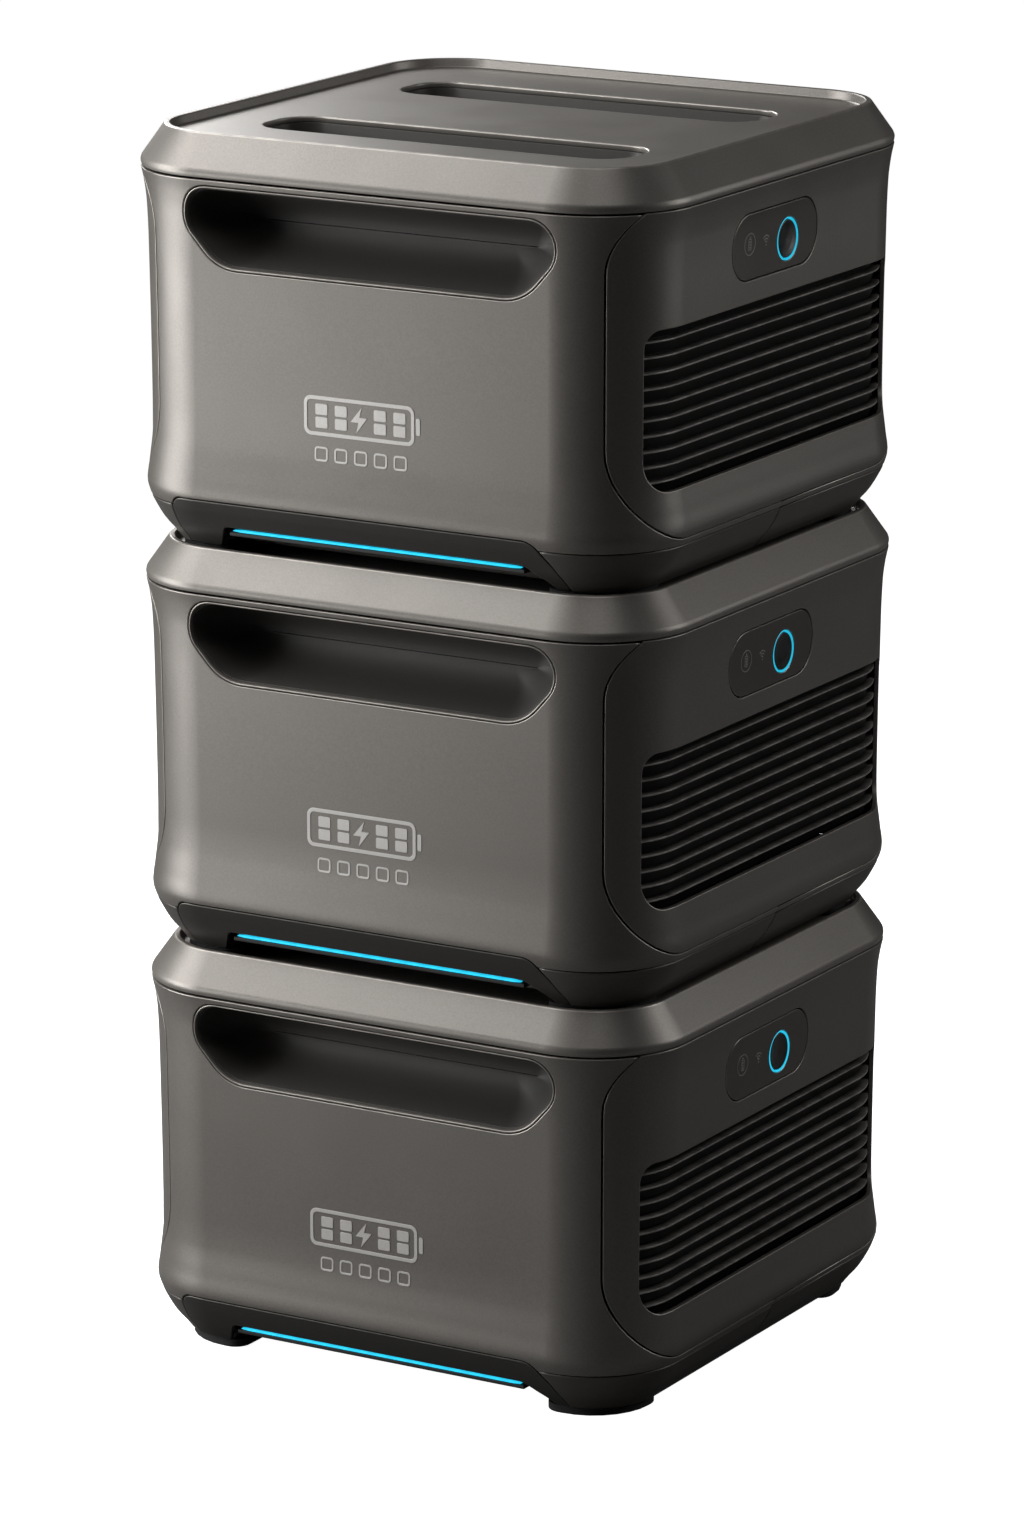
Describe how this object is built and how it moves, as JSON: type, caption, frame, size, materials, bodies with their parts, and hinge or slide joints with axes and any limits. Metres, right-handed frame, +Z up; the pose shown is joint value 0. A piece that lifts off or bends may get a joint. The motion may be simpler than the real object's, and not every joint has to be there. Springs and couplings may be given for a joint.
{
  "type": "stackable home storage battery",
  "caption": "Free-standing stack of home storage battery modules with scooped carry handles, louvred sides, front light bars and side power buttons.",
  "frame": {"origin": "middle of the footprint, on the surface the stack stands on", "axes": "+Z up, -Y the front with handle and light bar, +X the side with the power button"},
  "size_m": [0.395, 0.392, 0.8136],
  "materials": {
    "shell_titanium": "satin titanium grey, fine grain",
    "lid_titanium": "satin titanium grey, fine grain",
    "trim_dark": "satin dark grey",
    "cover_dark": "satin dark bronze grey",
    "handle_dark": "matte dark grey",
    "inner_black": "matte black",
    "button_gloss": "gloss black",
    "light_cyan": "lit cyan light guide",
    "cell_aluminium": "satin",
    "board_green": "solder-mask green"
  },
  "bodies": {
    "module_1": {"module_1_base_tray": "trim_dark", "module_1_body_shell": "shell_titanium", "module_1_lid": "lid_titanium", "module_1_front_trim": "trim_dark", "module_1_light_bar": "light_cyan", "module_1_front_handle_cup": "handle_dark", "module_1_rear_handle_cup": "handle_dark", "module_1_right_cover": "cover_dark", "module_1_left_cover": "cover_dark", "module_1_right_grille": "inner_black", "module_1_left_grille": "inner_black", "module_1_control_fascia": "cover_dark", "module_1_button_light_ring": "light_cyan", "module_1_cell_pack": "cell_aluminium", "module_1_management_board": "board_green", "module_1_fan_frame": "inner_black", "module_1_rear_port_plate": "trim_dark", "module_1_terminal_block": "inner_black"},
    "power_button_1": {"module_1_power_button": "button_gloss"},
    "fan_rotor_1": {"module_1_fan_rotor": "inner_black"},
    "module_2": {"module_2_base_tray": "trim_dark", "module_2_body_shell": "shell_titanium", "module_2_lid": "lid_titanium", "module_2_front_trim": "trim_dark", "module_2_light_bar": "light_cyan", "module_2_front_handle_cup": "handle_dark", "module_2_rear_handle_cup": "handle_dark", "module_2_right_cover": "cover_dark", "module_2_left_cover": "cover_dark", "module_2_right_grille": "inner_black", "module_2_left_grille": "inner_black", "module_2_control_fascia": "cover_dark", "module_2_button_light_ring": "light_cyan", "module_2_cell_pack": "cell_aluminium", "module_2_management_board": "board_green", "module_2_fan_frame": "inner_black", "module_2_rear_port_plate": "trim_dark", "module_2_terminal_block": "inner_black"},
    "power_button_2": {"module_2_power_button": "button_gloss"},
    "fan_rotor_2": {"module_2_fan_rotor": "inner_black"},
    "module_3": {"module_3_base_tray": "trim_dark", "module_3_body_shell": "shell_titanium", "module_3_lid": "lid_titanium", "module_3_front_trim": "trim_dark", "module_3_light_bar": "light_cyan", "module_3_front_handle_cup": "handle_dark", "module_3_rear_handle_cup": "handle_dark", "module_3_right_cover": "cover_dark", "module_3_left_cover": "cover_dark", "module_3_right_grille": "inner_black", "module_3_left_grille": "inner_black", "module_3_control_fascia": "cover_dark", "module_3_button_light_ring": "light_cyan", "module_3_cell_pack": "cell_aluminium", "module_3_management_board": "board_green", "module_3_fan_frame": "inner_black", "module_3_rear_port_plate": "trim_dark", "module_3_terminal_block": "inner_black"},
    "power_button_3": {"module_3_power_button": "button_gloss"},
    "fan_rotor_3": {"module_3_fan_rotor": "inner_black"}
  },
  "joints": [
    {"name": "power_button_1_press", "type": "slide", "parent": "module_1", "child": "power_button_1", "axis": [-1, 0, 0], "range_m": [0, 0.0012], "stiffness_N_per_m": 400, "springref_m": -0.003},
    {"name": "fan_1_spin", "type": "hinge", "parent": "module_1", "child": "fan_rotor_1", "pos_m": [0.161, 0, 0.12], "axis": [1, 0, 0], "continuous": true},
    {"name": "module_2_lift", "type": "slide", "parent": "module_1", "child": "module_2", "axis": [0, 0, 1], "range_m": [0, 0.1]},
    {"name": "power_button_2_press", "type": "slide", "parent": "module_2", "child": "power_button_2", "axis": [-1, 0, 0], "range_m": [0, 0.0012], "stiffness_N_per_m": 400, "springref_m": -0.003},
    {"name": "fan_2_spin", "type": "hinge", "parent": "module_2", "child": "fan_rotor_2", "pos_m": [0.161, 0, 0.3893], "axis": [1, 0, 0], "continuous": true},
    {"name": "module_3_lift", "type": "slide", "parent": "module_2", "child": "module_3", "axis": [0, 0, 1], "range_m": [0, 0.1]},
    {"name": "power_button_3_press", "type": "slide", "parent": "module_3", "child": "power_button_3", "axis": [-1, 0, 0], "range_m": [0, 0.0012], "stiffness_N_per_m": 400, "springref_m": -0.003},
    {"name": "fan_3_spin", "type": "hinge", "parent": "module_3", "child": "fan_rotor_3", "pos_m": [0.161, 0, 0.6586], "axis": [1, 0, 0], "continuous": true}
  ]
}
